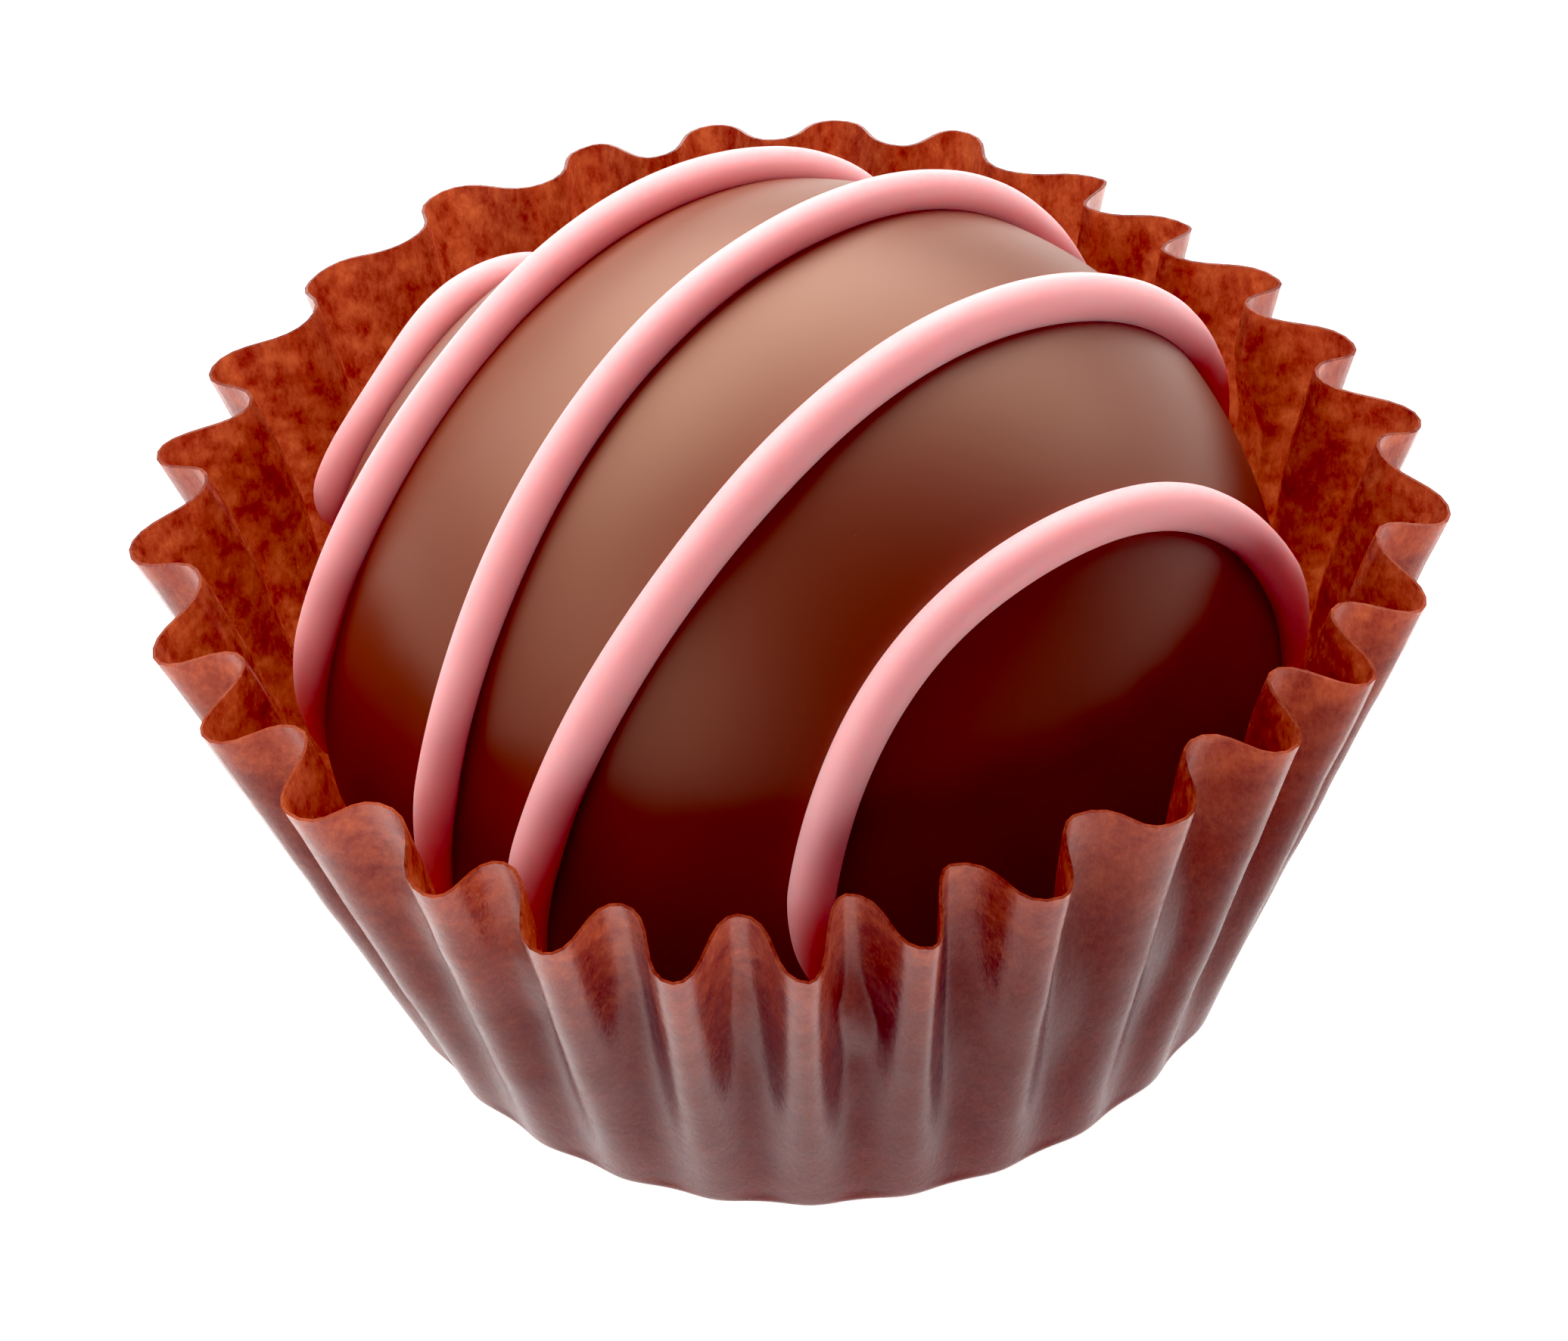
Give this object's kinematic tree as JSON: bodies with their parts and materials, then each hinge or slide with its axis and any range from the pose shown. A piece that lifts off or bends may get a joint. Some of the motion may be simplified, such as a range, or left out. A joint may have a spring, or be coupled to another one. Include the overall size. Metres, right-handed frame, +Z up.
{
  "type": "chocolate truffle",
  "caption": "Dipped chocolate truffle with thick piped drizzle lines across it, sitting in a tapered fluted paper case that it rises out of.",
  "frame": {"origin": "middle of the flat underside of the paper case, on the surface it stands on", "axes": "+Z up, -Y towards the front of the truffle, +X to its right"},
  "size_m": [0.0436, 0.043, 0.0283],
  "materials": {
    "chocolate": "smooth satin tempered chocolate",
    "drizzle_icing": "smooth satin pink compound icing",
    "glassine_paper": "thin translucent brown glassine, fine fibre mottle"
  },
  "bodies": {
    "root": {"truffle": "chocolate", "paper_case": "glassine_paper"}
  },
  "joints": []
}
